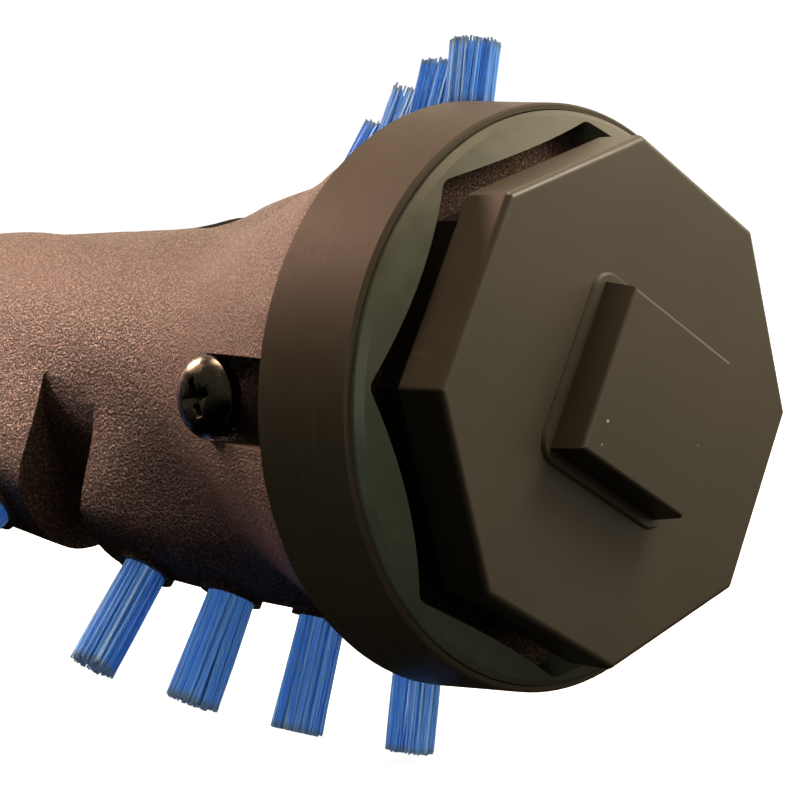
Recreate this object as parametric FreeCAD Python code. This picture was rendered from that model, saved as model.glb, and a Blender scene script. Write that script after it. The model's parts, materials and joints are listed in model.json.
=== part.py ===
import FreeCAD, Part
import math
import os

# Brush roller of an upright vacuum cleaner. The roller turns about X. Its driven end faces +X
# and its bearing end faces -X. The origin is on the axis, midway between the two end faces,
# and +Z is up. Two ridges of bristle tufts wind round a moulded barrel. Millimetres, degrees.

V = FreeCAD.Vector
ORIGIN = V(0, 0, 0)
AXIS = V(1, 0, 0)
DOWN = V(0, 0, -1)

# Octagonal end blocks and the square pegs on them
LENGTH = 350.0  # from one octagonal face to the other
OCTAGON_R = 23.4  # to a corner
OCTAGON_TURN = 4.6  # from +Z towards +Y, to the first corner
OCTAGON_EDGE = 0.6  # rounding of the outer edges
PEG_SIDE = 15.0
PEG_HEIGHT = 3.5
PEG_DRAFT = 0.4  # the foot of the peg is this much wider on each side
PEG_EDGE = 0.35  # rounding of the edges of the peg's end
PEG_SINK = 0.5  # the peg starts this far below the octagonal face
PAD_MARGIN = 1.1  # raised pad round the foot of the peg
PAD_HEIGHT = 0.3
PAD_BEVEL = 0.24
PAD_CORNER = 2.2

# Stations along the axis, measured inwards from an end face
HEAD_BACK = 4.9  # the block's head overhangs its neck from here on
CONE_TOP = 4.17  # where the ring's cone would meet the middle of an octagon side
CONE_SLOPE = 0.76  # fall of the cone per millimetre of radius
RING_BACK = 10.2  # back of the face ring, front of the barrel's spigot
COLLAR_FRONT = 7.9
COLLAR_BACK = 18.4
BARREL_SHOULDER = 18.5
FLARE_KNEE = 37.0  # the flare is a plain cone down to here, then runs out into the waist
FLARE_END = 50.0
SOCKET_DEPTH = 46.0
END_GAP = 1.0  # the plug and the bearing carrier stop this far short of the socket's floor

# Radii of the ends
NECK_R = 20.6
COLLAR_FRONT_R = 26.4
COLLAR_BACK_R = 27.1
COLLAR_BORE_R = 24.5
COLLAR_LIP_BORE_R = 25.8
RING_R = 25.7
SPIGOT_R = 24.4
SHOULDER_R = 26.0
KNEE_R = 18.9
SOCKET_R = 13.0
SHANK_R = 12.9
RING_OCTAGON_R = 24.95
RING_CORNER = 1.6
RING_ROUND_R = 24.0
RING_EDGE_DROP = 0.3  # the ring's rim is rounded down by this much
EDGE_BREAK = 0.5
LIP_BREAK = 0.2

# Barrel: a smooth round waist with two twisted lobes, cut through by the guard notches
WAIST_R = 15.65
BORE_R = 9.0
CREST_R = 22.4
FLANK_REACH = 15.52  # distance from the axis to the plane of a flank
FLANK_ANGLE = 58.3  # from the middle of a crest to a flank's normal
FLAT_LIMIT = 70.0  # the crest's plane is followed no further than this from its middle
BLEND_POWER = 40.0  # higher is sharper where the crest, the flanks and the waist run together
QUARTER_STEPS = 6
TWIST = 1.0  # degrees per millimetre of length
FLARE_STEP = 6.0  # distance between sections along the flares
LOFT_STEP = 9.0  # and along the rest of the barrel
NOTCH_FLOOR_R = 16.1  # just outside the waist, so the notches cut nothing but the lobes
SPIGOT_LAP = 0.5  # the spigots run this far into the lengths beside them
NOTCH_STATIONS = [60.0, 136.7, 213.3, 290.0]
NOTCH_WIDTH = 8.4

# Tufts: two rows, half a turn apart
TUFT_PITCH = 9.5
TUFTS_PER_ROW = 33
FIRST_TUFT = 22.4
ROW_SHIFT = 1.2  # the second row starts this much further in
FIRST_TUFT_ANGLE = -8.0  # about X, from straight down
TUFT_HOLE_R = 2.4
TUFT_HOLE_FLOOR = 14.8
TUFT_ROOT_R = 2.3
TUFT_TIP_R = 2.55
TUFT_FLOOR = 16.5
TUFT_TIP = 33.8
LIP_R = 3.1
LIP_HEIGHT = 0.5
ANCHOR_SIZE = (0.6, 4.2, 1.4)
ANCHOR_FLOOR = 14.9

# Radial screws that hold the plug and the bearing carrier
SCREW_STATION = 32.1
SCREW_SEAT = 19.9
SCREW_HEAD_R = 3.8
SCREW_HEAD_RIM = 1.3
SCREW_HEAD_HEIGHT = 2.5
SCREW_DOME = (2.74, 2.25)  # radius and height of one more point on the dome
SCREW_SHANK_R = 1.9
SCREW_LENGTH = 11.0
SCREW_POINT = 2.5
SCREW_POINT_R = 0.3
RECESS_SPAN = 4.4
RECESS_WIDTH = 1.0
RECESS_DEPTH = 1.7
POCKET_WIDTH = 8.0
POCKET_BACK = 37.5
POCKET_REACH = 30.0

# Steel core of the driven plug
PLUG_CORE_R = 6.0
PLUG_CORE_FRONT = 12.0
PLUG_CORE_BACK = 44.0

# Ball bearing at the -X end, 8 x 22 x 7
BEARING_FRONT = 14.0
BEARING_WIDTH = 7.0
BEARING_R = 11.0
BEARING_BORE_R = 4.0
OUTER_LAND_R = 9.35
INNER_LAND_R = 5.65
BALL_R = 1.98
BALL_CIRCLE_R = 7.5
BALL_COUNT = 7
RACE_R = 2.03
CAGE_IN_R = 6.75
CAGE_OUT_R = 8.25
CAGE_WIDTH = 4.6
CAGE_POCKET_R = 2.06

# Fixed block of the bearing, its axle and the seal
BLOCK_BACK = 8.6
HUB_R = 5.4
AXLE_FRONT = 3.0
AXLE_BACK = 24.0
AXLE_R = 3.97
CLIP_GROOVE_R = 3.6
CLIP_R = 5.4
CLIP_WIDTH = 0.9
CLIP_GAP = 2.4
WASHER_THICKNESS = 0.6
WASHER_R = 5.5
SEAL_FRONT = 11.2
SEAL_BACK = 13.4
SEAL_IN_R = 5.75
CARRIER_LEDGE_R = 9.8
CARRIER_POCKET_BACK = 27.0

HALF = LENGTH / 2
OVERCUT = 1.0  # cutters run past what they cut by this much
REACH = 20.0  # a cutter that starts this far outside clears everything
TINY = 1e-6


def station(distance):
    """X of a point this far in from the driven end's face."""
    return HALF - distance


def at_far_end(shape):
    """The same shape at the bearing end."""
    return shape.mirror(ORIGIN, AXIS)


def turned(outline):
    """Solid of revolution about X from (distance from the driven end, radius) points."""
    points = [V(station(distance), 0, radius) for distance, radius in outline]
    face = Part.Face(Part.makePolygon(points + points[:1]))
    return face.revolve(ORIGIN, AXIS, 360)


def rod(radius, front, back):
    """Cylinder on the axis between two stations."""
    return Part.makeCylinder(radius, back - front, V(station(back), 0, 0), AXIS)


def tube(outer, inner, front, back):
    """Hollow cylinder on the axis between two stations."""
    return rod(outer, front, back).cut(rod(inner, front - OVERCUT, back + OVERCUT))


def polygon_prism(corners, radius, turn, front, back):
    """Regular prism along X; turn is the angle from +Z towards +Y to the first corner."""
    points = []
    for i in range(corners):
        angle = math.radians(turn + 360 * i / corners)
        points.append(V(station(back), radius * math.sin(angle), radius * math.cos(angle)))
    face = Part.Face(Part.makePolygon(points + points[:1]))
    return face.extrude(V(back - front, 0, 0))


def edges_along_x(shape):
    """Straight edges parallel to the axis."""
    found = []
    for edge in shape.Edges:
        first, last = edge.Vertexes[0].Point, edge.Vertexes[-1].Point
        if abs(abs((last - first).normalize().x) - 1) < TINY:
            found.append(edge)
    return found


def edges_at(shape, x):
    """Edges that lie in one plane across the axis."""
    return [edge for edge in shape.Edges if all(abs(v.X - x) < TINY for v in edge.Vertexes)]


def fused(shapes):
    """One solid from several that touch or overlap."""
    return shapes[0].multiFuse(shapes[1:]).removeSplitter()


# ---------------------------------------------------------------- end blocks and pegs

def square_peg():
    """Drafted square peg on a low pad; its corners point at the middles of the octagon's sides."""
    turn = OCTAGON_TURN - 22.5
    pad_side = PEG_SIDE + 2 * (PEG_DRAFT + PAD_MARGIN)
    pad = polygon_prism(4, pad_side / math.sqrt(2), turn, -PAD_HEIGHT, PEG_SINK)
    pad = pad.makeFillet(PAD_CORNER, edges_along_x(pad))
    pad = pad.makeChamfer(PAD_BEVEL, edges_at(pad, station(-PAD_HEIGHT)))
    foot_side = PEG_SIDE + 2 * PEG_DRAFT
    wires = []
    for side, distance in ((foot_side, PEG_SINK), (PEG_SIDE, -PEG_HEIGHT)):
        prism = polygon_prism(4, side / math.sqrt(2), turn, distance, distance + 1)
        wires.append(Part.Wire(Part.sortEdges(edges_at(prism, station(distance)))[0]))
    peg = Part.makeLoft(wires, True, True)
    peg = peg.makeFillet(PEG_EDGE, edges_at(peg, station(-PEG_HEIGHT)))
    return fused([pad, peg])


def end_block(back):
    """Octagonal head with its peg, on a narrower octagonal neck that ends at a station further in."""
    head = polygon_prism(8, OCTAGON_R, OCTAGON_TURN, 0, HEAD_BACK)
    head = head.makeFillet(OCTAGON_EDGE, edges_at(head, HALF) + edges_along_x(head))
    neck = polygon_prism(8, NECK_R, OCTAGON_TURN, HEAD_BACK - OVERCUT, back)
    return fused([head, neck, square_peg()])


def drive_plug():
    """Driven plug: octagonal head, square peg and a round shank in the barrel's socket."""
    shank = rod(SHANK_R, RING_BACK - OVERCUT, SOCKET_DEPTH - END_GAP)
    plug = fused([end_block(RING_BACK), shank])
    plug = plug.cut(rod(PLUG_CORE_R, PLUG_CORE_FRONT, SOCKET_DEPTH))
    return plug.cut(screw_bores())


def plug_core():
    """Steel core that stiffens the plug's shank."""
    return rod(PLUG_CORE_R, PLUG_CORE_FRONT, PLUG_CORE_BACK)


def idle_block():
    """Fixed octagonal block of the bearing end, with a hub that reaches the inner ring."""
    hub = rod(HUB_R, BLOCK_BACK - OVERCUT, BEARING_FRONT)
    block = fused([end_block(BLOCK_BACK), hub])
    return block.cut(rod(AXLE_R, AXLE_FRONT, BEARING_FRONT + OVERCUT))


# ---------------------------------------------------------------- collars and face rings

def collar():
    """Smooth band round the end of the barrel, with a thin lip that stands round the ring."""
    return turned([
        (COLLAR_FRONT, COLLAR_LIP_BORE_R),
        (COLLAR_FRONT, COLLAR_FRONT_R - LIP_BREAK),
        (COLLAR_FRONT + LIP_BREAK, COLLAR_FRONT_R),
        (COLLAR_BACK - EDGE_BREAK, COLLAR_BACK_R),
        (COLLAR_BACK, COLLAR_BACK_R - EDGE_BREAK),
        (COLLAR_BACK, COLLAR_BORE_R),
        (RING_BACK, COLLAR_BORE_R),
        (RING_BACK, COLLAR_LIP_BORE_R),
    ])


def cone_station(radius):
    """Where the ring's conical face stands at one radius."""
    return CONE_TOP + CONE_SLOPE * (radius - OCTAGON_R * math.cos(math.radians(22.5)))


def ring_blank():
    """Conical face ring before its hole is cut."""
    shoulder = RING_R - EDGE_BREAK
    return turned([
        (cone_station(0), 0),
        (cone_station(shoulder), shoulder),
        (cone_station(RING_R) + RING_EDGE_DROP, RING_R),
        (RING_BACK, RING_R),
        (RING_BACK, 0),
    ])


def drive_ring():
    """Face ring with an octagonal hole that follows the plug's head."""
    hole = polygon_prism(8, RING_OCTAGON_R, OCTAGON_TURN, -REACH, RING_BACK + OVERCUT)
    hole = hole.makeFillet(RING_CORNER, edges_along_x(hole))
    return ring_blank().cut(hole)


def idle_ring():
    """Face ring with a round hole that turns round the fixed block."""
    return ring_blank().cut(rod(RING_ROUND_R, -REACH, RING_BACK + OVERCUT))


# ---------------------------------------------------------------- barrel

def ridge_angle(x):
    """Turn of the lobed section about X at one place along the axis."""
    return FIRST_TUFT_ANGLE + TWIST * (x - station(FIRST_TUFT))


def waist_radius(distance):
    """Radius of the round waist: a cone from the shoulder, then a smooth run-out."""
    from_end = min(distance, LENGTH - distance)
    slope = (KNEE_R - SHOULDER_R) / (FLARE_KNEE - BARREL_SHOULDER)
    if from_end <= FLARE_KNEE:
        return SHOULDER_R + slope * (from_end - BARREL_SHOULDER)
    if from_end >= FLARE_END:
        return WAIST_R
    run = FLARE_END - FLARE_KNEE
    share = (from_end - FLARE_KNEE) / run
    fade = (1 - share) ** 2
    return WAIST_R + fade * ((1 + 2 * share) * (KNEE_R - WAIST_R) + share * slope * run)


def outline_radius(angle, waist):
    """Radius of the barrel at an angle in degrees from the middle of a crest."""
    off_crest = abs((angle + 90) % 180 - 90)
    crest = CREST_R / math.cos(math.radians(min(off_crest, FLAT_LIMIT)))
    flank = FLANK_REACH / math.cos(math.radians(min(off_crest - FLANK_ANGLE, 0)))
    lobe = (crest ** -BLEND_POWER + flank ** -BLEND_POWER) ** (-1 / BLEND_POWER)
    return (lobe ** BLEND_POWER + waist ** BLEND_POWER) ** (1 / BLEND_POWER)


def lobed_section(distance):
    """Smooth closed outline of the barrel in four quarters, from crest to waist and back."""
    x = station(distance)
    waist = waist_radius(distance)
    quarters = []
    for start in (0, 90, 180, 270):
        points = []
        for i in range(QUARTER_STEPS + 1):
            angle = start + 90 * i / QUARTER_STEPS
            turn = math.radians(angle + ridge_angle(x))
            radius = outline_radius(angle, waist)
            points.append(V(x, -radius * math.sin(turn), radius * math.cos(turn)))
        curve = Part.BSplineCurve()
        curve.interpolate(Points=points, InitialTangent=AXIS.cross(points[0]).normalize(),
                          FinalTangent=AXIS.cross(points[-1]).normalize())
        quarters.append(curve.toShape())
    return Part.Wire(quarters)


def ridge_segment(front, back):
    """Twisted length of the barrel between two stations."""
    in_flare = front < FLARE_END or back > LENGTH - FLARE_END
    steps = math.ceil((back - front) / (FLARE_STEP if in_flare else LOFT_STEP))
    sections = [lobed_section(front + (back - front) * i / steps) for i in range(steps + 1)]
    return Part.makeLoft(sections, True, False)


def ridge_spans():
    """Start and end stations of the lengths between the guard notches."""
    starts = [BARREL_SHOULDER] + [notch + NOTCH_WIDTH / 2 for notch in NOTCH_STATIONS]
    ends = [notch - NOTCH_WIDTH / 2 for notch in NOTCH_STATIONS] + [LENGTH - BARREL_SHOULDER]
    return list(zip(starts, ends))


def barrel_blank():
    """The lobed barrel in lengths that meet inside the guard notches, with a spigot at each end."""
    joints = [BARREL_SHOULDER] + NOTCH_STATIONS + [LENGTH - BARREL_SHOULDER]
    lengths = [ridge_segment(start, end) for start, end in zip(joints, joints[1:])]
    spigot = rod(SPIGOT_R, RING_BACK, BARREL_SHOULDER + SPIGOT_LAP)
    return lengths + [spigot, at_far_end(spigot)]


def guard_notches():
    """Cutters that take the lobes away where the nozzle's guards pass."""
    half = NOTCH_WIDTH / 2
    return [tube(SHOULDER_R, NOTCH_FLOOR_R, notch - half, notch + half) for notch in NOTCH_STATIONS]


def tuft_stations(row):
    """Stations of one row's tufts, grouped by the length of ridge that they stand on."""
    first = FIRST_TUFT + ROW_SHIFT * row
    places = [first + TUFT_PITCH * i for i in range(TUFTS_PER_ROW)]
    groups = []
    for start, end in ridge_spans():
        groups.append([d for d in places if start + TUFT_HOLE_R < d < end - TUFT_HOLE_R])
    return groups


def place_radially(shape, row, distance):
    """Turn a shape that stands on the axis along -Z to a tuft's place on its ridge."""
    x = station(distance)
    shape.translate(V(x, 0, 0))
    shape.rotate(V(x, 0, 0), AXIS, ridge_angle(x) + 180 * row)
    return shape


def tuft_holes():
    """Raised lips and blind holes of every tuft."""
    lips = []
    holes = []
    for row in (0, 1):
        for group in tuft_stations(row):
            for distance in group:
                top = outline_radius(0, waist_radius(distance)) + LIP_HEIGHT
                lip = Part.makeCylinder(LIP_R, top - WAIST_R, V(0, 0, -WAIST_R), DOWN)
                hole = Part.makeCylinder(TUFT_HOLE_R, CREST_R, V(0, 0, -TUFT_HOLE_FLOOR), DOWN)
                lips.append(place_radially(lip, row, distance))
                holes.append(place_radially(hole, row, distance))
    return lips, holes


def screw_pockets():
    """Open channels in the flare, one on each side, whose floors seat the screw heads."""
    pockets = []
    for side in (-1, 1):
        pocket = Part.makeBox(
            POCKET_BACK - BARREL_SHOULDER, POCKET_REACH - SCREW_SEAT, POCKET_WIDTH,
            V(station(POCKET_BACK), SCREW_SEAT, -POCKET_WIDTH / 2))
        pockets.append(pocket if side > 0 else pocket.mirror(ORIGIN, V(0, 1, 0)))
    return Part.makeCompound(pockets)


def screw_bores():
    """Holes for the shanks of the two radial screws."""
    bores = []
    for side in (-1, 1):
        bores.append(Part.makeCylinder(
            SCREW_SHANK_R, POCKET_REACH, V(station(SCREW_STATION), 0, 0), V(0, side, 0)))
    return Part.makeCompound(bores)


def roller_core():
    """Moulded barrel in one piece: core, flares, ridges, tuft holes, sockets and pockets."""
    blank = barrel_blank()
    lips, holes = tuft_holes()
    barrel = blank[0].multiFuse(blank[1:] + lips)
    socket = rod(SOCKET_R, RING_BACK - OVERCUT, SOCKET_DEPTH)
    cuts = guard_notches() + [rod(BORE_R, RING_BACK - OVERCUT, LENGTH - RING_BACK + OVERCUT)]
    for shape in (socket, screw_pockets(), screw_bores()):
        cuts += [shape, at_far_end(shape)]
    return barrel.cut(cuts + holes)


# ---------------------------------------------------------------- tufts

def tuft():
    """One tuft, pointing down from the axis, a little wider at its tips."""
    root = Part.makeCylinder(TUFT_ROOT_R, CREST_R - TUFT_FLOOR, V(0, 0, -TUFT_FLOOR), DOWN)
    fan = Part.makeCone(TUFT_ROOT_R, TUFT_TIP_R, TUFT_TIP - CREST_R, V(0, 0, -CREST_R), DOWN)
    return root.fuse(fan)


def anchor():
    """Flat wire staple that holds a tuft down in its hole."""
    width, span, height = ANCHOR_SIZE
    return Part.makeBox(width, span, height, V(-width / 2, -span / 2, -ANCHOR_FLOOR - height))


def row_pieces(make, row, group):
    """Copies of a piece at each station of one group."""
    return Part.makeCompound([place_radially(make(), row, distance) for distance in group])


# ---------------------------------------------------------------- screws

def screw():
    """Pan-head screw with a cross recess, its head up and its seat at the origin."""
    rim = V(SCREW_HEAD_R, 0, SCREW_HEAD_RIM)
    crown = V(0, 0, SCREW_HEAD_HEIGHT)
    shoulder = V(SCREW_DOME[0], 0, SCREW_DOME[1])
    edges = [
        Part.makeLine(V(0, 0, 0), V(SCREW_HEAD_R, 0, 0)),
        Part.makeLine(V(SCREW_HEAD_R, 0, 0), rim),
        Part.Arc(rim, shoulder, crown).toShape(),
        Part.makeLine(crown, V(0, 0, 0)),
    ]
    head = Part.Face(Part.Wire(edges)).revolve(ORIGIN, V(0, 0, 1), 360)
    body = SCREW_LENGTH - SCREW_POINT
    shank = Part.makeCylinder(SCREW_SHANK_R, body, ORIGIN, DOWN)
    point = Part.makeCone(SCREW_SHANK_R, SCREW_POINT_R, SCREW_POINT, V(0, 0, -body), DOWN)
    whole = fused([head, shank, point])
    floor = SCREW_HEAD_HEIGHT - RECESS_DEPTH
    for size in ((RECESS_SPAN, RECESS_WIDTH), (RECESS_WIDTH, RECESS_SPAN)):
        corner = V(-size[0] / 2, -size[1] / 2, floor)
        whole = whole.cut(Part.makeBox(size[0], size[1], SCREW_HEAD_HEIGHT, corner))
    return whole


def screws_at_one_end():
    """The pair of radial screws at the driven end."""
    pair = []
    for side in (-1, 1):
        piece = screw()
        piece.rotate(ORIGIN, AXIS, -90 * side)
        piece.translate(V(station(SCREW_STATION), side * SCREW_SEAT, 0))
        pair.append(piece)
    return Part.makeCompound(pair)


# ---------------------------------------------------------------- bearing end

def race(outer, inner):
    """Bearing ring with a ball groove in the side that faces the balls."""
    ring = tube(outer, inner, BEARING_FRONT, BEARING_FRONT + BEARING_WIDTH)
    middle = station(BEARING_FRONT + BEARING_WIDTH / 2)
    return ring.cut(Part.makeTorus(BALL_CIRCLE_R, RACE_R, V(middle, 0, 0), AXIS))


def ball_centres():
    """Centres of the balls."""
    middle = station(BEARING_FRONT + BEARING_WIDTH / 2)
    centres = []
    for i in range(BALL_COUNT):
        angle = 2 * math.pi * i / BALL_COUNT
        centres.append(V(middle, BALL_CIRCLE_R * math.cos(angle), BALL_CIRCLE_R * math.sin(angle)))
    return centres


def balls():
    """The balls, loose between the two rings."""
    return Part.makeCompound([Part.makeSphere(BALL_R, centre) for centre in ball_centres()])


def cage():
    """Band that spaces the balls."""
    front = BEARING_FRONT + (BEARING_WIDTH - CAGE_WIDTH) / 2
    band = tube(CAGE_OUT_R, CAGE_IN_R, front, front + CAGE_WIDTH)
    pockets = [Part.makeSphere(CAGE_POCKET_R, centre) for centre in ball_centres()]
    return band.cut(pockets)


def bearing_carrier():
    """Insert that holds the outer ring and the seal in the barrel's socket."""
    carrier = rod(SHANK_R, RING_BACK, SOCKET_DEPTH - END_GAP)
    seat_back = BEARING_FRONT + BEARING_WIDTH
    for radius, back in ((BEARING_R, seat_back), (CARRIER_LEDGE_R, CARRIER_POCKET_BACK)):
        carrier = carrier.cut(rod(radius, RING_BACK - OVERCUT, back))
    return carrier.cut(screw_bores())


def seal():
    """Felt ring that keeps dust out of the bearing."""
    return tube(BEARING_R, SEAL_IN_R, SEAL_FRONT, SEAL_BACK)


def axle():
    """Steel axle pressed into the fixed block, with a groove for its clip."""
    clip_front = BEARING_FRONT + BEARING_WIDTH + WASHER_THICKNESS
    groove = tube(AXLE_R + OVERCUT, CLIP_GROOVE_R, clip_front, clip_front + CLIP_WIDTH)
    return rod(AXLE_R, AXLE_FRONT, AXLE_BACK).cut(groove)


def washer():
    """Thin washer between the inner ring and the clip."""
    front = BEARING_FRONT + BEARING_WIDTH
    return tube(WASHER_R, BEARING_BORE_R, front, front + WASHER_THICKNESS)


def clip():
    """Spring clip, open on one side."""
    front = BEARING_FRONT + BEARING_WIDTH + WASHER_THICKNESS
    ring = tube(CLIP_R, CLIP_GROOVE_R, front, front + CLIP_WIDTH)
    gap = Part.makeBox(3 * CLIP_WIDTH, CLIP_GAP, CLIP_R + OVERCUT,
                       V(station(front + 2 * CLIP_WIDTH), -CLIP_GAP / 2, 0))
    return ring.cut(gap)


# ---------------------------------------------------------------- nodes

def all_nodes():
    """Every sub-part by name."""
    nodes = {
        "roller_core": roller_core(),
        "collar_drive": collar(),
        "collar_idle": at_far_end(collar()),
        "ring_drive": drive_ring(),
        "ring_idle": at_far_end(idle_ring()),
        "drive_plug": drive_plug(),
        "plug_core": plug_core(),
        "screws_drive": screws_at_one_end(),
        "screws_idle": at_far_end(screws_at_one_end()),
        "bearing_carrier": at_far_end(bearing_carrier()),
        "bearing_outer": at_far_end(race(BEARING_R, OUTER_LAND_R)),
        "felt_seal": at_far_end(seal()),
        "bearing_inner": at_far_end(race(INNER_LAND_R, BEARING_BORE_R)),
        "bearing_balls": at_far_end(balls()),
        "bearing_cage": at_far_end(cage()),
        "idle_block": at_far_end(idle_block()),
        "idle_axle": at_far_end(axle()),
        "axle_washer": at_far_end(washer()),
        "axle_clip": at_far_end(clip()),
    }
    for row, letter in enumerate("ab"):
        for number, group in enumerate(tuft_stations(row), start=1):
            nodes[f"tufts_{letter}{number}"] = row_pieces(tuft, row, group)
            nodes[f"anchors_{letter}{number}"] = row_pieces(anchor, row, group)
    return nodes


os.makedirs("parts", exist_ok=True)
for node_name, node_shape in all_nodes().items():
    node_shape.exportStep(f"parts/{node_name}.step")
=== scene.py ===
import bpy
import json
import math
import random
from mathutils import Matrix, Vector

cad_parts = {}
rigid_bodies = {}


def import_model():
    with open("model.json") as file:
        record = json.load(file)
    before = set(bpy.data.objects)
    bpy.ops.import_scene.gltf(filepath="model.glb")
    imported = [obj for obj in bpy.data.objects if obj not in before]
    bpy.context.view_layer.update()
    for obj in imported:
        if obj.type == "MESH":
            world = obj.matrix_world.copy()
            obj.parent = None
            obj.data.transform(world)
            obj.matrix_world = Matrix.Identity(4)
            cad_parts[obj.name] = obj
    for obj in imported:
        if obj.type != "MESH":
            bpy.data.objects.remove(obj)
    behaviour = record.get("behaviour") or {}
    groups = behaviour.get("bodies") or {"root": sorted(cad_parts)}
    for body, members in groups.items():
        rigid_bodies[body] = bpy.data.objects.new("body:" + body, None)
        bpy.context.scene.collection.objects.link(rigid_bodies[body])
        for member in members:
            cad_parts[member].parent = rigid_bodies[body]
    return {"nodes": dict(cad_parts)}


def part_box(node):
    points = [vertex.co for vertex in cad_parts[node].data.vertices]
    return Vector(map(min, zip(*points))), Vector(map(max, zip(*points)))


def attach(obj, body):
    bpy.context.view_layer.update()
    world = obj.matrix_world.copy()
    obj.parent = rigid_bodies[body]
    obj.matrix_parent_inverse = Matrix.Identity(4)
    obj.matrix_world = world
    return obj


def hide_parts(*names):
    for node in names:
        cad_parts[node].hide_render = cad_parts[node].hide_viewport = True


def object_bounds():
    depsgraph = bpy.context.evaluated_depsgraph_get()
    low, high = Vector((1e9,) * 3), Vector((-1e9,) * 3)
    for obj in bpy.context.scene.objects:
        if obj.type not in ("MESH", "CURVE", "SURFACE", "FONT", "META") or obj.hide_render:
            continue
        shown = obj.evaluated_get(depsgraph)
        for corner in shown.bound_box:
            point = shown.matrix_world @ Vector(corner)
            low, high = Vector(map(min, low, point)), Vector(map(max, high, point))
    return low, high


# Brush roller of an upright vacuum cleaner, lying along X with its driven end at +X. The moulded
# parts keep the frame's shapes and get their finishes here. The bristle tufts and the screws are
# modelled here, strand by strand and cut by cut. Lengths are in metres.

MM = 0.001
UP = Vector((0, 0, 1))

# Camera and stage
EYE = (0.29675, -0.14763, 0.01090)
SIGHT_LINE = (-0.71188, 0.70007, -0.05607)
LENS = 98.475
FLOOR_DROP = 0.4 * MM
FLOOR_SPAN = 12.0
CLIP_START = 0.01

# Surroundings: what they cast on the roller grows with height and towards the back
BEHIND = (0.25, 0.97, 0.0)
HORIZON_BLUR = 0.25
CAST_BELOW = 0.02
CAST_ABOVE = 1.0
FRONT_EDGE = -0.3
BACK_EDGE = 0.7
CAST_FRONT = 0.10
CAST_BACK = 1.5
SEEN_BRIGHTNESS = 1.1

# Lamps: place, point that it faces, side of the square, power and colour. The rim lamp shines
# only on the driven end's collar and ring, and the tufts lamp only on the bristles.
LAMPS = {
    "key": ((-0.66, -0.09, 0.43), (0.12, 0, 0), 0.28, 11.0, (1.0, 0.62, 0.46)),
    "overhead": ((0.02, -0.02, 0.80), (0.12, 0, 0), 0.40, 7.0, (1.0, 0.70, 0.50)),
    "face": ((0.215, 0.03, 0.06), (0.175, 0, 0.01), 0.03, 0.055, (1.0, 0.86, 0.66)),
    "rim": ((0.42, -0.42, 0.05), (0.17, 0, 0), 0.12, 0.55, (0.95, 1.0, 0.80)),
    "tufts": ((0.32, -0.24, -0.06), (0.14, 0, -0.02), 0.12, 1.3, (0.88, 0.97, 1.0)),
}

# Screw pockets in the flares, where the barrel's colour is painted near-black as shade in the
# recess
POCKET_HALF = 4.03 * MM
POCKET_FLOOR = 19.95 * MM
POCKET_BACK = 139.8 * MM

# Bristle tufts
STRAND_R = 0.115 * MM
STRAND_SIDES = 5
STRAND_STEPS = 3
STRAND_BOW = 0.10 * MM
STRANDS = 230
TUFT_ROOT_R = 2.15 * MM
TUFT_TIP_R = 2.62 * MM
TUFT_FOOT = 19.0 * MM
TUFT_GAP = 2.0 * MM
TUFT_KINDS = 5
CLUMPS = 8
CLUMP_PULL = 0.45
RAGGEDNESS = 0.3 * MM
STRAYS = 4
STRAY_REACH = 0.7 * MM
STRAND_SMOOTHING = math.radians(60)
FRAY_START = 33.0 * MM  # distances from the axis between which a strand turns pale
FRAY_END = 33.75 * MM
SEED = 4

# Screws
SCREW_TURNS = {"screws_drive": 0.35, "screws_idle": 1.1}  # how far round each cross lies
HEAD_SIDES = 48
HEAD_R = 3.8 * MM
HEAD_RIM = 1.1 * MM
HEAD_DOME = [(0.45, 0.55), (0.5, 0.35), (0.6, 0.2), (0.7, 0.1)]  # inward and upward steps, mm
CROSS_SPAN = 4.6 * MM
CROSS_WIDTH = 1.05 * MM
CROSS_DEPTH = 2.0 * MM
CROSS_TAPER = 0.45
CROSS_NARROWING = 0.7
BLADE_LENGTH = 3.0 * MM
SHANK_SIDES = 24
SHANK_R = 1.45 * MM
THREAD_R = 1.88 * MM
THREAD_PITCH = 1.4 * MM
THREAD_TURNS = 5
THREAD_STEPS = 20
THREAD_FOOT = 0.4 * MM
SHANK_LENGTH = 10.6 * MM
POINT_LENGTH = 2.4 * MM
POINT_SHARE = 0.12
THREAD_SINK = 0.1 * MM
HEAD_HEIGHT = 2.5 * MM
EDGE_ROUND = 0.06 * MM
EDGE_ROUND_ANGLE = math.radians(35)
SCREW_SMOOTHING = math.radians(40)

TINY = 1e-7


# ---------------------------------------------------------------- finishes

class Wire:
    """An output socket that takes part in sums, so that shader maths reads as maths."""

    def __init__(self, finish, socket):
        self.finish = finish
        self.socket = socket

    def maths(self, operation, first, second=0.0):
        return self.finish.node("ShaderNodeMath", {"operation": operation}, {0: first, 1: second})

    def __add__(self, other):
        return self.maths("ADD", self, other)

    def __radd__(self, other):
        return self.maths("ADD", other, self)

    def __sub__(self, other):
        return self.maths("SUBTRACT", self, other)

    def __rsub__(self, other):
        return self.maths("SUBTRACT", other, self)

    def __mul__(self, other):
        return self.maths("MULTIPLY", self, other)

    def __rmul__(self, other):
        return self.maths("MULTIPLY", other, self)

    def __gt__(self, other):
        return self.maths("GREATER_THAN", self, other)

    def __lt__(self, other):
        return self.maths("LESS_THAN", self, other)

    def root(self):
        return self.maths("SQRT", self)

    def size(self):
        """The value without its sign."""
        return self.maths("ABSOLUTE", self)


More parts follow.
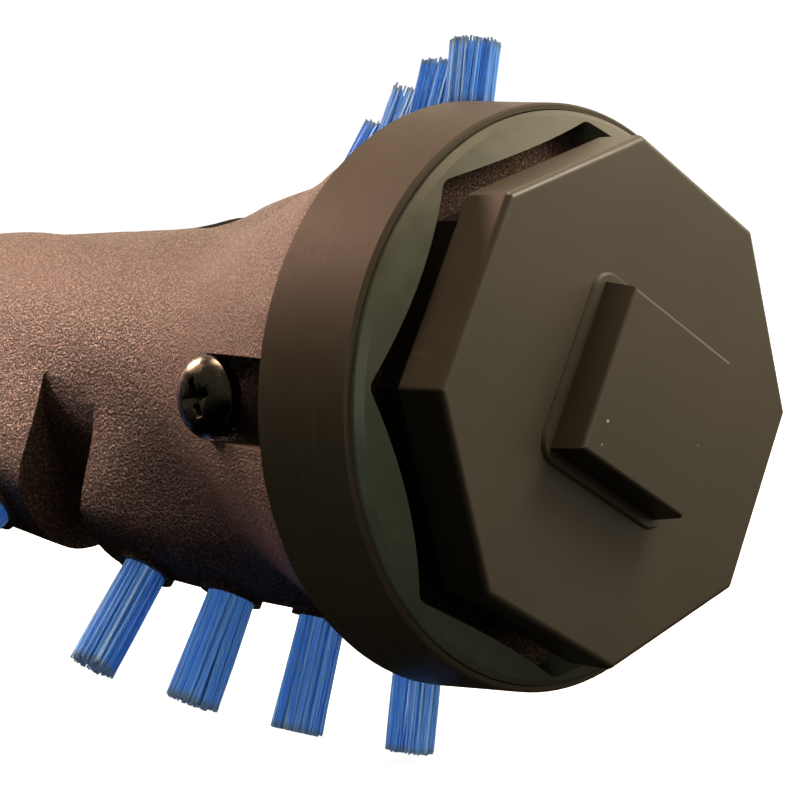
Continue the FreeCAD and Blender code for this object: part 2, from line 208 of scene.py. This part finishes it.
class Finish:
    """A material while it is mixed: nodes go in one by one and end in a single surface."""

    def __init__(self, name):
        self.material = bpy.data.materials.new(name)
        self.material.use_nodes = True
        self.tree = self.material.node_tree
        self.tree.nodes.clear()
        self.place = self.node("ShaderNodeTexCoord", output="Object")
        parts = self.node("ShaderNodeSeparateXYZ", {}, {"Vector": self.place}).socket.node
        self.x, self.y, self.z = [Wire(self, socket) for socket in parts.outputs]

    @classmethod
    def over(cls, tree):
        """The same mixing bench over the world's nodes."""
        bench = cls.__new__(cls)
        bench.tree = tree
        tree.nodes.clear()
        return bench

    def node(self, kind, settings=None, sockets=None, output=0):
        """Add a node: its settings first, then values or links of its sockets."""
        made = self.tree.nodes.new(kind)
        for name, value in (settings or {}).items():
            setattr(made, name, value)
        for name, value in (sockets or {}).items():
            if isinstance(value, Wire):
                self.tree.links.new(value.socket, made.inputs[name])
            else:
                made.inputs[name].default_value = value
        if not made.outputs:
            return None
        return Wire(self, made.outputs[output])

    def noise(self, scale, detail=2.0, roughness=0.5, place=None):
        """Cloudy value from 0 to 1, with this many clouds to the metre."""
        sockets = {"Vector": place or self.place, "Scale": scale, "Detail": detail,
                   "Roughness": roughness}
        return self.node("ShaderNodeTexNoise", {}, sockets)

    def cells(self, scale, output="Distance", place=None):
        """Distance to the nearest of many scattered points, or that point's own colour."""
        sockets = {"Vector": place or self.place, "Scale": scale}
        return self.node("ShaderNodeTexVoronoi", {}, sockets, output)

    def scaled(self, scale):
        """Object coordinates with a different scale along each axis."""
        return self.node("ShaderNodeMapping", {}, {"Vector": self.place, "Scale": scale})

    def step(self, value, low, high, bottom=0.0, top=1.0):
        """Smooth change from bottom to top while the value goes from low to high."""
        sockets = {"Value": value, "From Min": low, "From Max": high,
                   "To Min": bottom, "To Max": top}
        return self.node("ShaderNodeMapRange", {"interpolation_type": "SMOOTHSTEP"}, sockets)

    def blend(self, share, first, second):
        """Colour that lies between two others."""
        sockets = {0: share, 6: first, 7: second}
        return self.node("ShaderNodeMix", {"data_type": "RGBA"}, sockets, 2)

    def radius(self):
        """Distance from the roller's axis."""
        return (self.y * self.y + self.z * self.z).root()

    def bump(self, height, distance, strength=1.0):
        sockets = {"Height": height, "Distance": distance, "Strength": strength}
        return self.node("ShaderNodeBump", {}, sockets)

    def surface(self, sockets):
        """Close the material with its shader."""
        shader = self.node("ShaderNodeBsdfPrincipled", {}, sockets)
        self.node("ShaderNodeOutputMaterial", {}, {"Surface": shader})
        return self.material


def rgb(red, green, blue):
    return (red, green, blue, 1.0)


def barrel_finish():
    """Glass-filled black plastic: a gritty grain full of pale glittering flecks, warm brown."""
    mix = Finish("barrel_plastic")
    grit = mix.noise(4200.0, 3.0, 0.65)
    lumps = mix.noise(1500.0, 2.0)
    flecks = mix.cells(3600.0)
    clouds = mix.noise(110.0, 3.0, 0.6)
    blush = mix.noise(420.0, 3.0, 0.6)
    base = mix.blend(clouds, rgb(0.050, 0.028, 0.018), rgb(0.080, 0.042, 0.028))
    base = mix.blend(mix.step(blush, 0.48, 0.72, 0.0, 0.6), base, rgb(0.12, 0.050, 0.047))
    base = mix.blend(mix.step(grit, 0.34, 0.49, 0.6, 0.0), base, rgb(0.018, 0.010, 0.006))
    base = mix.blend(mix.step(grit, 0.53, 0.64), base, rgb(0.34, 0.195, 0.145))
    base = mix.blend(mix.step(flecks, 0.10, 0.22, 0.6, 0.0), base, rgb(0.50, 0.36, 0.29))
    # Painted shade: inside each screw pocket the colour is turned near-black, standing in for the
    # shade in the recess.
    pocket_shade = mix.z.size() < POCKET_HALF
    pocket_shade *= mix.y.size() < POCKET_FLOOR
    pocket_shade *= mix.x.size() > POCKET_BACK
    base = mix.blend(pocket_shade * 0.9, base, rgb(0.004, 0.005, 0.003))
    return mix.surface({
        "Base Color": base,
        "Roughness": mix.step(grit, 0.40, 0.62, 0.62, 0.28),
        "Specular IOR Level": 0.5,
        "Normal": mix.bump(grit + 0.5 * lumps - 0.3 * flecks, 0.32 * MM, 1.0),
    })


def collar_finish():
    """Smooth satin band: faint mottling and short rubbed marks round its girth."""
    mix = Finish("collar_plastic")
    mottle = mix.noise(420.0, 4.0, 0.6)
    clouds = mix.noise(60.0, 2.0)
    rubs = mix.noise(1.0, 3.0, 0.6, mix.scaled((1500.0, 90.0, 90.0)))
    base = mix.blend(clouds, rgb(0.032, 0.026, 0.017), rgb(0.056, 0.042, 0.028))
    base = mix.blend(mix.step(rubs, 0.62, 0.85, 0.0, 0.5), base, rgb(0.09, 0.07, 0.05))
    rough = mix.step(mottle, 0.3, 0.7, 0.46, 0.56)
    return mix.surface({
        "Base Color": base,
        "Roughness": rough,
        "Specular IOR Level": 0.2,
        "Normal": mix.bump(mottle + 0.5 * rubs, 0.03 * MM, 0.5),
    })


def ring_finish():
    """Face ring: greenish grey-black with a soft sheen and faint turned lines."""
    mix = Finish("ring_plastic")
    mottle = mix.noise(500.0, 4.0, 0.55)
    lines = mix.noise(1.0, 2.0, 0.5, mix.scaled((3000.0, 60.0, 60.0)))
    base = mix.blend(mottle, rgb(0.058, 0.061, 0.045), rgb(0.100, 0.104, 0.077))
    rough = mix.step(mottle, 0.3, 0.7, 0.36, 0.46)
    return mix.surface({
        "Base Color": base,
        "Roughness": rough,
        "Specular IOR Level": 0.25,
        "Normal": mix.bump(mottle + lines, 0.02 * MM, 0.5),
    })


def plug_finish():
    """End block: satin brown-grey black with dust specks, hairline scuffs and rubbed patches."""
    mix = Finish("plug_plastic")
    clouds = mix.noise(70.0, 3.0, 0.6)
    fine = mix.noise(1800.0, 3.0, 0.6)
    dots = mix.cells(420.0)
    chance = mix.node("ShaderNodeSeparateColor", {}, {"Color": mix.cells(420.0, "Color")})
    specks = mix.step(dots, 0.05, 0.09, 1.0, 0.0) * (chance > 0.9)
    scuffs = mix.noise(1.0, 3.0, 0.7, mix.scaled((120.0, 2600.0, 240.0)))
    base = mix.blend(clouds, rgb(0.046, 0.041, 0.028), rgb(0.070, 0.060, 0.044))
    base = mix.blend(mix.step(scuffs, 0.66, 0.8, 0.0, 0.35), base, rgb(0.16, 0.14, 0.11))
    base = mix.blend(specks, base, rgb(0.55, 0.50, 0.42))
    rough = mix.step(clouds, 0.3, 0.7, 0.36, 0.46)
    return mix.surface({
        "Base Color": base,
        "Roughness": rough,
        "Specular IOR Level": 0.38,
        "Normal": mix.bump(fine, 0.015 * MM, 0.5),
    })


def bristle_finish():
    """Blue nylon: each strand has its own depth of blue, and its cut end is frayed pale."""
    mix = Finish("bristle")
    strand = mix.node("ShaderNodeAttribute", {"attribute_name": "strand"}, {}, "Fac")
    streaks = mix.noise(1.0, 2.0, 0.5, mix.scaled((700.0, 700.0, 700.0)))
    base = mix.blend(strand, rgb(0.07, 0.32, 0.95), rgb(0.28, 0.62, 1.0))
    base = mix.blend(mix.step(strand, 0.80, 0.98), base, rgb(0.66, 0.86, 1.0))
    base = mix.blend(mix.step(streaks, 0.4, 0.8, 0.0, 0.3), base, rgb(0.40, 0.62, 0.95))
    tip = mix.step(mix.radius(), FRAY_START, FRAY_END)
    base = mix.blend(tip * 0.75, base, rgb(0.22, 0.27, 0.33))
    return mix.surface({
        "Base Color": base,
        "Roughness": mix.step(strand, 0.0, 1.0, 0.28, 0.42),
        "Transmission Weight": 0.45,
        "IOR": 1.35,
        "Normal": mix.bump(streaks, 0.01 * MM, 0.4),
    })


def steel_finish(name, dark, light, rough):
    """Turned or plated steel with fine marks and a little staining."""
    mix = Finish(name)
    marks = mix.noise(1.0, 3.0, 0.6, mix.scaled((4000.0, 700.0, 700.0)))
    stains = mix.noise(380.0, 4.0, 0.6)
    base = mix.blend(stains, dark, light)
    return mix.surface({
        "Base Color": base,
        "Metallic": 1.0,
        "Roughness": mix.step(marks, 0.3, 0.7, rough, rough + 0.14),
        "Normal": mix.bump(marks, 0.008 * MM, 0.5),
    })


def cage_finish():
    """Ball cage: cream nylon, slightly clouded."""
    mix = Finish("cage_plastic")
    clouds = mix.noise(600.0, 3.0, 0.6)
    return mix.surface({
        "Base Color": mix.blend(clouds, rgb(0.50, 0.42, 0.28), rgb(0.68, 0.60, 0.44)),
        "Roughness": mix.step(clouds, 0.3, 0.7, 0.4, 0.55),
        "Normal": mix.bump(clouds, 0.02 * MM, 0.4),
    })


def felt_finish():
    """Felt seal: matted grey fibres."""
    mix = Finish("felt")
    fibres = mix.noise(2600.0, 5.0, 0.75)
    clouds = mix.noise(500.0, 2.0)
    base = mix.blend(clouds, rgb(0.10, 0.10, 0.095), rgb(0.20, 0.19, 0.18))
    return mix.surface({
        "Base Color": mix.blend(mix.step(fibres, 0.5, 0.8), base, rgb(0.42, 0.40, 0.37)),
        "Roughness": mix.step(fibres, 0.3, 0.7, 0.85, 1.0),
        "Sheen Weight": 0.4,
        "Normal": mix.bump(fibres, 0.15 * MM, 1.0),
    })


# ---------------------------------------------------------------- modelling by hand

def start_clean():
    """Leave every object out of the selection before something new is made."""
    if bpy.context.object and bpy.context.object.mode != "OBJECT":
        bpy.ops.object.mode_set(mode="OBJECT")
    bpy.ops.object.select_all(action="DESELECT")


def pick(kind, wanted):
    """In edit mode, select just the vertices, edges or faces that pass a test."""
    bpy.ops.mesh.select_mode(type=kind)
    bpy.ops.mesh.select_all(action="DESELECT")
    bpy.ops.object.mode_set(mode="OBJECT")
    mesh = bpy.context.object.data
    items = {"VERT": mesh.vertices, "EDGE": mesh.edges, "FACE": mesh.polygons}[kind]
    for item in items:
        item.select = wanted(item)
    bpy.ops.object.mode_set(mode="EDIT")


def finish_modifier(kind, settings):
    """Add a modifier to the active object and apply it."""
    made = bpy.context.object.modifiers.new(kind.lower(), kind)
    for name, value in settings.items():
        setattr(made, name, value)
    bpy.ops.object.modifier_apply(modifier=made.name)


def copied(shape, matrix):
    """Copy of a shape with its own mesh, put in its place."""
    twin = shape.copy()
    twin.data = shape.data.copy()
    twin.data.transform(matrix)
    bpy.context.scene.collection.objects.link(twin)
    return twin


def joined(pieces, name):
    """Several shapes as a single object, placed by its mesh alone."""
    start_clean()
    for piece in pieces:
        piece.select_set(True)
    bpy.context.view_layer.objects.active = pieces[0]
    bpy.ops.object.join()
    whole = bpy.context.object
    whole.name = name
    whole.data.name = name
    return whole


def dropped(shape):
    """Remove a pattern shape once its copies are made."""
    bpy.data.meshes.remove(shape.data)


def closed_up():
    """In edit mode, merge doubles and turn every face outwards."""
    bpy.ops.mesh.select_all(action="SELECT")
    bpy.ops.mesh.remove_doubles(threshold=TINY)
    bpy.ops.mesh.select_all(action="SELECT")
    bpy.ops.mesh.normals_make_consistent(inside=False)


# ---------------------------------------------------------------- bristle tufts

def strand():
    """One filament standing on the origin: a unit long, slightly bowed, both ends cut flat."""
    start_clean()
    bpy.ops.mesh.primitive_circle_add(vertices=STRAND_SIDES, radius=STRAND_R, fill_type="NGON")
    bpy.ops.object.mode_set(mode="EDIT")
    bpy.ops.mesh.select_all(action="SELECT")
    rise = 1.0 / STRAND_STEPS
    for i in range(STRAND_STEPS):
        lean = STRAND_BOW * (1.0 - 2.0 * i / (STRAND_STEPS - 1))
        bpy.ops.mesh.extrude_region_move(TRANSFORM_OT_translate={"value": (lean, 0, rise)})
    closed_up()
    bpy.ops.object.mode_set(mode="OBJECT")
    bpy.ops.object.shade_smooth_by_angle(angle=STRAND_SMOOTHING)
    shape = bpy.context.object
    shape.data.attributes.new("strand", "FLOAT", "POINT")
    return shape


def along(start, end, roll):
    """Matrix that lays a unit shape standing on the origin from one point to another."""
    line = end - start
    turn = UP.rotation_difference(line.normalized()).to_matrix().to_4x4()
    size = Matrix.Diagonal((1.0, 1.0, line.length, 1.0))
    return Matrix.Translation(start) @ turn @ Matrix.Rotation(roll, 4, "Z") @ size


def disc_point(luck, radius):
    """Random point spread evenly over a disc."""
    reach = radius * math.sqrt(luck.random())
    angle = luck.uniform(0, 2 * math.pi)
    return Vector((reach * math.cos(angle), reach * math.sin(angle), 0))


def tuft(pattern, luck, length):
    """One tuft along +Z: strands from a round hole that spread and clump towards their tips."""
    clumps = [disc_point(luck, TUFT_ROOT_R) for _ in range(CLUMPS)]
    spread = TUFT_TIP_R / TUFT_ROOT_R
    strands = []
    for i in range(STRANDS):
        foot = disc_point(luck, TUFT_ROOT_R)
        heart = min(clumps, key=lambda clump: (clump - foot).length)
        tip = foot.lerp(heart, CLUMP_PULL * luck.random()) * spread
        if i < STRAYS:
            tip += foot.normalized() * STRAY_REACH * luck.random()
        tip.z = length - RAGGEDNESS * luck.random() ** 2
        one = copied(pattern, along(foot, tip, luck.uniform(0, 2 * math.pi)))
        shade = luck.random()
        values = [shade] * len(one.data.vertices)
        one.data.attributes["strand"].data.foreach_set("value", values)
        strands.append(one)
    return joined(strands, "tuft_pattern")


def tuft_lines(node):
    """Outward direction and place along the roller of each tuft in one of the frame's groups."""
    points = sorted((vertex.co.copy() for vertex in node.data.vertices), key=lambda point: point.x)
    groups = [[points[0]]]
    for before, after in zip(points, points[1:]):
        if after.x - before.x > TUFT_GAP:
            groups.append([])
        groups[-1].append(after)
    lines = []
    for group in groups:
        low, high = group[0].x, group[-1].x
        middle = sum(group, Vector()) / len(group)
        outward = Vector((0, middle.y, middle.z)).normalized()
        lines.append((Vector((0.5 * (low + high), 0, 0)), outward))
    return lines


def tuft_group(name, node, kinds, luck, finish):
    """All the tufts of one length of ridge, as one piece in the place of the frame's group."""
    tufts = []
    for centre, outward in tuft_lines(node):
        turn = UP.rotation_difference(outward).to_matrix().to_4x4()
        spin = Matrix.Rotation(luck.uniform(0, 2 * math.pi), 4, "Z")
        place = Matrix.Translation(centre + outward * TUFT_FOOT) @ turn @ spin
        tufts.append(copied(luck.choice(kinds), place))
    piece = joined(tufts, name.replace("tufts", "bristles"))
    piece.data.materials.clear()
    piece.data.materials.append(finish)
    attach(piece, "roller")
    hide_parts(name)


def all_tufts(nodes, finish):
    """Every group of bristle tufts on both rows."""
    luck = random.Random(SEED)
    names = sorted(name for name in nodes if name.startswith("tufts_"))
    tip = max(max(abs(c) for c in (*low.yz, *high.yz)) for low, high in map(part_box, names))
    pattern = strand()
    kinds = [tuft(pattern, luck, tip - TUFT_FOOT) for _ in range(TUFT_KINDS)]
    for name in names:
        tuft_group(name, nodes[name], kinds, luck, finish)
    for shape in kinds + [pattern]:
        dropped(shape)


# ---------------------------------------------------------------- screws

def screw_blank():
    """Pan head standing on the origin: a short cylinder drawn in step by step to a low dome."""
    start_clean()
    middle = (0, 0, 0.5 * HEAD_RIM)
    bpy.ops.mesh.primitive_cylinder_add(
        vertices=HEAD_SIDES, radius=HEAD_R, depth=HEAD_RIM, location=middle)
    bpy.ops.object.transform_apply(location=True)
    bpy.ops.object.mode_set(mode="EDIT")
    pick("FACE", lambda face: face.normal.z > 0.5)
    for inward, upward in HEAD_DOME:
        bpy.ops.mesh.inset(thickness=inward * MM, depth=upward * MM)
    bpy.ops.object.mode_set(mode="OBJECT")
    return bpy.context.object


def cross_blade(top, turn):
    """Tapered blade of the driver, sunk from the top of the head."""
    start_clean()
    middle = (0, 0, top - CROSS_DEPTH + 0.5 * BLADE_LENGTH)
    bpy.ops.mesh.primitive_cube_add(size=1.0, location=middle)
    bpy.ops.transform.resize(value=(CROSS_SPAN, CROSS_WIDTH, BLADE_LENGTH))
    bpy.ops.object.transform_apply(location=True, scale=True)
    bpy.ops.object.mode_set(mode="EDIT")
    pick("FACE", lambda face: face.normal.z < -0.5)
    bpy.ops.transform.resize(value=(CROSS_TAPER, CROSS_NARROWING, 1.0))
    bpy.ops.object.mode_set(mode="OBJECT")
    blade = bpy.context.object
    blade.data.transform(Matrix.Rotation(turn, 4, "Z"))
    return blade


def core_of_shank():
    """Plain core below the head, drawn in to a point."""
    start_clean()
    middle = (0, 0, -0.5 * SHANK_LENGTH)
    bpy.ops.mesh.primitive_cylinder_add(
        vertices=SHANK_SIDES, radius=SHANK_R, depth=SHANK_LENGTH, location=middle)
    bpy.ops.object.transform_apply(location=True)
    bpy.ops.object.mode_set(mode="EDIT")
    pick("FACE", lambda face: face.normal.z < -0.5)
    bpy.ops.transform.translate(value=(0, 0, POINT_LENGTH))
    bpy.ops.mesh.extrude_region_move(TRANSFORM_OT_translate={"value": (0, 0, -POINT_LENGTH)})
    bpy.ops.transform.resize(value=(POINT_SHARE, POINT_SHARE, 1.0))
    bpy.ops.object.mode_set(mode="OBJECT")
    return bpy.context.object


def at_thread_end(point, height):
    """Whether a point belongs to the thread's outline at this height."""
    return point.x > 0 and abs(point.y) < TINY and abs(point.z - height) < THREAD_FOOT


def thread():
    """Sharp ridge wound round the core, closed at both ends."""
    start_clean()
    bpy.ops.mesh.primitive_circle_add(
        vertices=3, radius=THREAD_R - SHANK_R + THREAD_SINK, fill_type="NOTHING",
        location=(SHANK_R, 0, -THREAD_FOOT), rotation=(0.5 * math.pi, 0.5 * math.pi, 0))
    bpy.ops.object.transform_apply(location=True, rotation=True)
    finish_modifier("SCREW", {
        "axis": "Z", "screw_offset": -THREAD_PITCH, "iterations": THREAD_TURNS,
        "steps": THREAD_STEPS, "render_steps": THREAD_STEPS})
    bpy.ops.object.mode_set(mode="EDIT")
    for end in (-THREAD_FOOT, -THREAD_FOOT - THREAD_TURNS * THREAD_PITCH):
        pick("VERT", lambda vertex: at_thread_end(vertex.co, end))
        bpy.ops.mesh.edge_face_add()
    closed_up()
    bpy.ops.object.mode_set(mode="OBJECT")
    return bpy.context.object


def screw_finish():
    """Black-zinc screw: dark glossy plating, worn to bare metal in small scattered marks."""
    mix = Finish("screw_steel")
    stains = mix.noise(900.0, 4.0, 0.6)
    marks = mix.noise(3500.0, 3.0, 0.6)
    base = mix.blend(stains, rgb(0.10, 0.09, 0.07), rgb(0.20, 0.19, 0.155))
    base = mix.blend(mix.step(marks, 0.62, 0.72), base, rgb(0.48, 0.45, 0.40))
    return mix.surface({
        "Base Color": base,
        "Metallic": 1.0,
        "Roughness": mix.step(stains, 0.3, 0.7, 0.18, 0.34),
        "Normal": mix.bump(marks, 0.01 * MM, 0.5),
    })


def screw_pattern():
    """A whole screw standing on the origin, head up, with the driver's cross cut into it."""
    head = screw_blank()
    top = max(vertex.co.z for vertex in head.data.vertices)
    for turn in (0.0, 0.5 * math.pi):
        blade = cross_blade(top, turn)
        start_clean()
        head.select_set(True)
        bpy.context.view_layer.objects.active = head
        finish_modifier("BOOLEAN", {"object": blade, "operation": "DIFFERENCE", "solver": "EXACT"})
        dropped(blade)
    finish_modifier("BEVEL", {"width": EDGE_ROUND, "segments": 2, "limit_method": "ANGLE",
                              "angle_limit": EDGE_ROUND_ANGLE})
    whole = joined([head, core_of_shank(), thread()], "screw_pattern")
    bpy.ops.object.shade_smooth_by_angle(angle=SCREW_SMOOTHING)
    return whole


def all_screws(finish):
    """Both pairs of screws, each pair in the place of the frame's pair at its end."""
    pattern = screw_pattern()
    for name, turn in SCREW_TURNS.items():
        low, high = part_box(name)
        middle = 0.5 * (low + high)
        pair = []
        for side in (-1, 1):
            seat = Vector((middle.x, side * (high.y - HEAD_HEIGHT), 0))
            stand = Matrix.Rotation(-0.5 * math.pi * side, 4, "X") @ Matrix.Rotation(turn, 4, "Z")
            pair.append(copied(pattern, Matrix.Translation(seat) @ stand))
        piece = joined(pair, name.replace("screws", "pan_screws"))
        piece.data.materials.clear()
        piece.data.materials.append(finish)
        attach(piece, "roller")
        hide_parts(name)
    dropped(pattern)


# ---------------------------------------------------------------- stage

def floor_finish():
    """Matt white that glows a little, so that the floor stays white to the edges of the view."""
    mix = Finish("pale_floor")
    grain = mix.noise(900.0, 2.0)
    base = mix.blend(grain, rgb(0.90, 0.90, 0.90), rgb(0.93, 0.93, 0.93))
    return mix.surface({"Base Color": base, "Roughness": 0.9, "Emission Color": rgb(1, 1, 1),
                        "Emission Strength": 0.9})


def floor(height):
    """Plain pale floor under the roller."""
    start_clean()
    bpy.ops.mesh.primitive_plane_add(size=FLOOR_SPAN, location=(0, 0, height))
    ground = bpy.context.object
    ground.name = "floor"
    ground.data.materials.append(floor_finish())
    ground.visible_glossy = False
    ground.visible_diffuse = False


def lamp(name, place, target, size, power, colour):
    """Soft square lamp that faces a point."""
    data = bpy.data.lights.new(name, "AREA")
    data.size = size
    data.energy = power
    data.color = colour
    made = bpy.data.objects.new(name, data)
    bpy.context.scene.collection.objects.link(made)
    made.location = place
    made.rotation_euler = (Vector(target) - Vector(place)).to_track_quat("-Z", "Y").to_euler()
    made.visible_camera = False
    return made


def only_on(light, things):
    """Let a lamp shine on a few things and on nothing else."""
    lit = bpy.data.collections.new(light.name + "_lit")
    for thing in things:
        lit.objects.link(thing)
    light.light_linking.receiver_collection = lit


def sky():
    """White surroundings; what they cast on the roller is warm, and dim from below and in front."""
    world = bpy.data.worlds.new("studio")
    bpy.context.scene.world = world
    world.use_nodes = True
    mix = Finish.over(world.node_tree)
    way = mix.node("ShaderNodeTexCoord", {}, {}, "Generated")
    height = mix.node("ShaderNodeSeparateXYZ", {}, {"Vector": way}, "Z")
    behind = mix.node(
        "ShaderNodeVectorMath", {"operation": "DOT_PRODUCT"}, {0: way, 1: BEHIND}, "Value")
    camera_ray = mix.node("ShaderNodeLightPath", {}, {}, "Is Camera Ray")
    through_ray = mix.node("ShaderNodeLightPath", {}, {}, "Is Transmission Ray")
    seen = camera_ray.maths("MAXIMUM", camera_ray, through_ray)
    from_above = mix.step(height, -HORIZON_BLUR, HORIZON_BLUR, CAST_BELOW, CAST_ABOVE)
    from_behind = mix.step(behind, FRONT_EDGE, BACK_EDGE, CAST_FRONT, CAST_BACK)
    cast = from_above * from_behind
    tone = mix.blend(seen, rgb(1.0, 0.86, 0.66), rgb(1.0, 1.0, 1.0))
    strength = seen * SEEN_BRIGHTNESS + (1 - seen) * cast
    glow = mix.node("ShaderNodeBackground", {}, {"Color": tone, "Strength": strength})
    mix.node("ShaderNodeOutputWorld", {}, {"Surface": glow})


def camera():
    """Viewpoint close to the driven end, a little above the axis."""
    data = bpy.data.cameras.new("camera")
    data.lens = LENS
    data.clip_start = CLIP_START
    made = bpy.data.objects.new("camera", data)
    bpy.context.scene.collection.objects.link(made)
    made.location = EYE
    made.rotation_euler = Vector(SIGHT_LINE).to_track_quat("-Z", "Y").to_euler()
    bpy.context.scene.camera = made


def dress(nodes):
    """Give every moulded or turned part of the frame its finish."""
    steel = steel_finish("steel", rgb(0.42, 0.41, 0.39), rgb(0.58, 0.57, 0.55), 0.28)
    bearing = steel_finish("bearing_steel", rgb(0.60, 0.60, 0.60), rgb(0.72, 0.72, 0.71), 0.10)
    staple = steel_finish("staple_wire", rgb(0.50, 0.46, 0.38), rgb(0.66, 0.62, 0.52), 0.25)
    plug = plug_finish()
    finishes = {
        "roller_core": barrel_finish(),
        "collar": collar_finish(),
        "ring": ring_finish(),
        "drive_plug": plug,
        "idle_block": plug,
        "bearing_carrier": plug,
        "plug_core": steel,
        "idle_axle": steel,
        "axle": steel,
        "bearing_cage": cage_finish(),
        "bearing": bearing,
        "felt_seal": felt_finish(),
        "anchors": staple,
    }
    for name, node in nodes.items():
        for start, finish in finishes.items():
            if name.startswith(start):
                for slot in node.material_slots:
                    slot.material = finish
                break


def main():
    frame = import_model()
    nodes = frame["nodes"]
    cad_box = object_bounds()
    dress(nodes)
    all_tufts(nodes, bristle_finish())
    all_screws(screw_finish())
    floor(cad_box[0].z - FLOOR_DROP)
    lamps = {name: lamp(name, *setting) for name, setting in LAMPS.items()}
    only_on(lamps["rim"], [nodes["collar_drive"], nodes["ring_drive"]])
    bristles = [thing for thing in bpy.data.objects if thing.name.startswith("bristles")]
    only_on(lamps["tufts"], bristles)
    sky()
    camera()
    bpy.context.scene.view_settings.view_transform = "Standard"


main()
